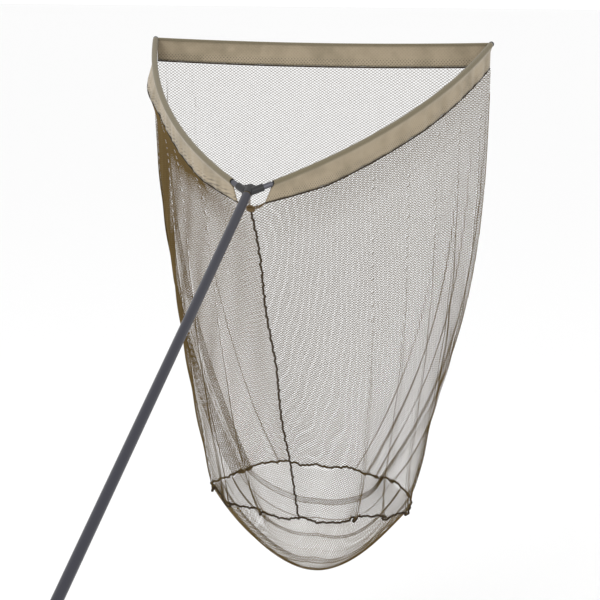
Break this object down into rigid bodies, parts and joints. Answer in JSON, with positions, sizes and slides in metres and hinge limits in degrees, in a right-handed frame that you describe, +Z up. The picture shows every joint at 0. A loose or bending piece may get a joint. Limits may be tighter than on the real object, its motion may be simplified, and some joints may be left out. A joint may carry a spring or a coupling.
{
  "type": "landing net",
  "caption": "Triangular landing net on a long straight handle: screw-off spreader block, bowed arms, spreader cord and a deep hanging mesh bag.",
  "frame": {"origin": "on the handle's centre line at the middle of the grip, where a rest or clamp holds the handle", "axes": "+X to the right across the head, +Y level from the butt towards the spreader cord, +Z up against gravity; the handle and head slope up at 25 degrees towards +Y"},
  "size_m": [1.087, 2.416, 1.6863],
  "materials": {
    "carbon": "satin woven carbon tube under a clear coat",
    "brass_insert": "machined, threaded",
    "rubber_cap": "moulded, dull",
    "washer_rubber": "dull",
    "block_nylon": "moulded, fine grain",
    "bright_steel": "turned",
    "socket_alloy": "dark anodised, ribbed",
    "rod_glass_fibre": "pultruded, smooth",
    "tip_nylon": "moulded",
    "cord_braid": "braided",
    "sleeve_cloth": "fine knitted mesh cloth, olive brown",
    "seam_braid": "overlocked braid, dark brown",
    "tie_cord": "soft cord, brown",
    "netting": "knitted open netting, light brown"
  },
  "bodies": {
    "handle": {"handle_tube": "carbon", "thread_insert": "brass_insert", "butt_cap": "rubber_cap"},
    "washer": {"thread_washer": "washer_rubber"},
    "head": {"spreader_block": "block_nylon", "block_stud": "bright_steel", "arm_socket_left": "socket_alloy", "arm_socket_right": "socket_alloy", "sleeve_left": "sleeve_cloth", "sleeve_right": "sleeve_cloth", "sleeve_seam_left": "seam_braid", "sleeve_seam_right": "seam_braid", "mesh_side_left": "netting", "mesh_side_right": "netting", "mesh_back": "netting", "mesh_base": "netting", "base_seam": "seam_braid", "front_seam": "seam_braid", "front_tie": "tie_cord"},
    "arm_left": {"arm_rod_left": "rod_glass_fibre", "arm_tip_left": "tip_nylon"},
    "arm_right": {"arm_rod_right": "rod_glass_fibre", "arm_tip_right": "tip_nylon"},
    "spreader": {"spreader_cord": "cord_braid", "cord_ferrule_left": "bright_steel", "cord_ferrule_right": "bright_steel", "sleeve_back": "sleeve_cloth", "sleeve_seam_back": "seam_braid"}
  },
  "joints": [
    {"name": "head_back_off", "type": "slide", "parent": "handle", "child": "washer", "axis": [0, 0.9063, 0.4226], "range_m": [0, 0.0128]},
    {"name": "head_turn", "type": "hinge", "parent": "washer", "child": "head", "pos_m": [0, 1.26883, 0.59167], "axis": [0, 0.9063, 0.4226], "range_deg": [0, 3600]},
    {"name": "arm_right_pull", "type": "hinge", "parent": "head", "child": "arm_right", "pos_m": [-0.98482, 2.36898, 1.10468], "axis": [0, -0.4226, 0.9063], "range_deg": [0, 1.46]},
    {"name": "arm_left_pull", "type": "hinge", "parent": "head", "child": "arm_left", "pos_m": [0.98482, 2.36898, 1.10468], "axis": [0, 0.4226, -0.9063], "range_deg": [0, 1.46]},
    {"name": "spreader_shift", "type": "slide", "parent": "head", "child": "spreader", "axis": [0, 0.9063, 0.4226], "range_m": [0, 0.03903]}
  ],
  "couplings": [
    {"joint": "head_back_off", "follows": "head_turn", "m_per_rad": 0.00020213},
    {"joint": "arm_left_pull", "follows": "arm_right_pull", "ratio": 1},
    {"joint": "spreader_shift", "follows": "arm_right_pull", "m_per_rad": 1.5245}
  ]
}
